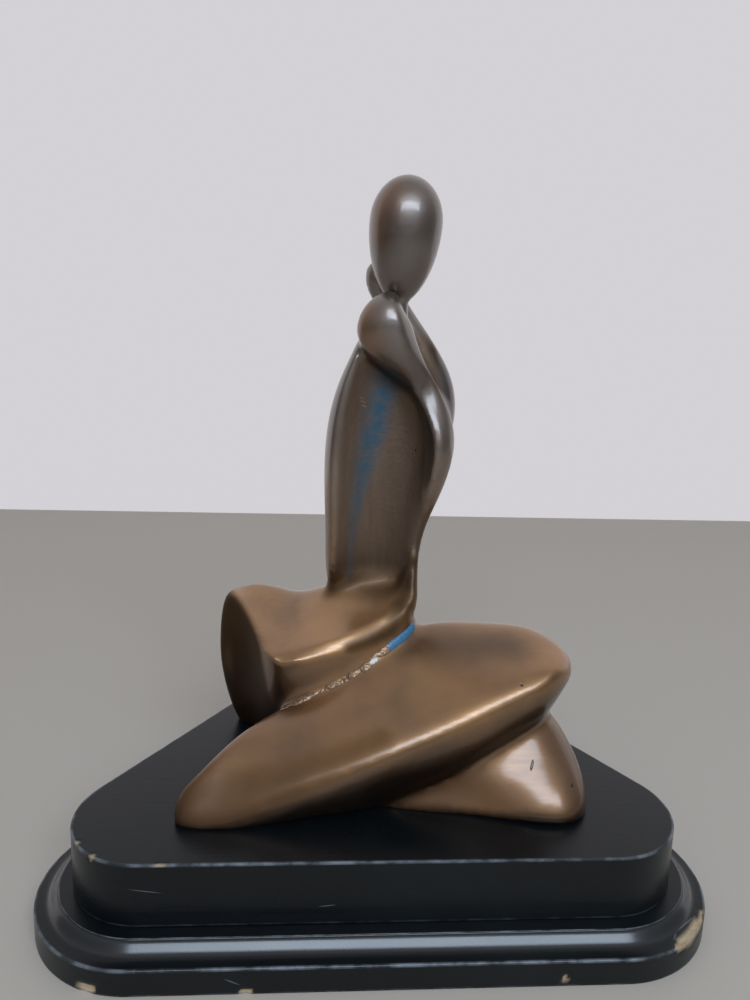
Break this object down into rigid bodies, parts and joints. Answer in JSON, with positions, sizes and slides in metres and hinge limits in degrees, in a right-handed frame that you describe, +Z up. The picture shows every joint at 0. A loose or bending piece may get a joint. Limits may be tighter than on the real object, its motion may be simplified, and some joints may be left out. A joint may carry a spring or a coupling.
{
  "type": "bronze statuette",
  "caption": "Abstract faceless figure seated cross-legged, in polished brown bronze castings, on a black painted three-sided wooden base with a moulded lower tier.",
  "frame": {"origin": "middle of the lower board's underside, on the table", "axes": "+Z up, +X to the figure's knee side at the right of the picture, -Y to the front of the base"},
  "size_m": [0.2682, 0.2446, 0.2945],
  "materials": {
    "bronze": "polished bronze with a warm brown patina, darker in the hollows",
    "weld_bronze": "rough unpolished weld bead",
    "painted_wood": "satin black paint on wood, worn at the edges",
    "fixing_steel": "zinc plated steel"
  },
  "bodies": {
    "root": {"lower_board": "painted_wood", "upper_plinth": "painted_wood", "tier_screw_1": "fixing_steel", "tier_screw_2": "fixing_steel", "tier_screw_3": "fixing_steel", "figure_stud_1": "fixing_steel", "figure_stud_2": "fixing_steel", "figure_stud_3": "fixing_steel", "stud_washer_1": "fixing_steel", "stud_washer_2": "fixing_steel", "stud_washer_3": "fixing_steel", "stud_nut_1": "fixing_steel", "stud_nut_2": "fixing_steel", "stud_nut_3": "fixing_steel", "front_leg": "bronze", "under_leg": "bronze", "rear_leg": "bronze", "torso_shell": "bronze", "near_arm": "bronze", "far_arm": "bronze", "head": "bronze", "lap_weld": "weld_bronze"}
  },
  "joints": []
}
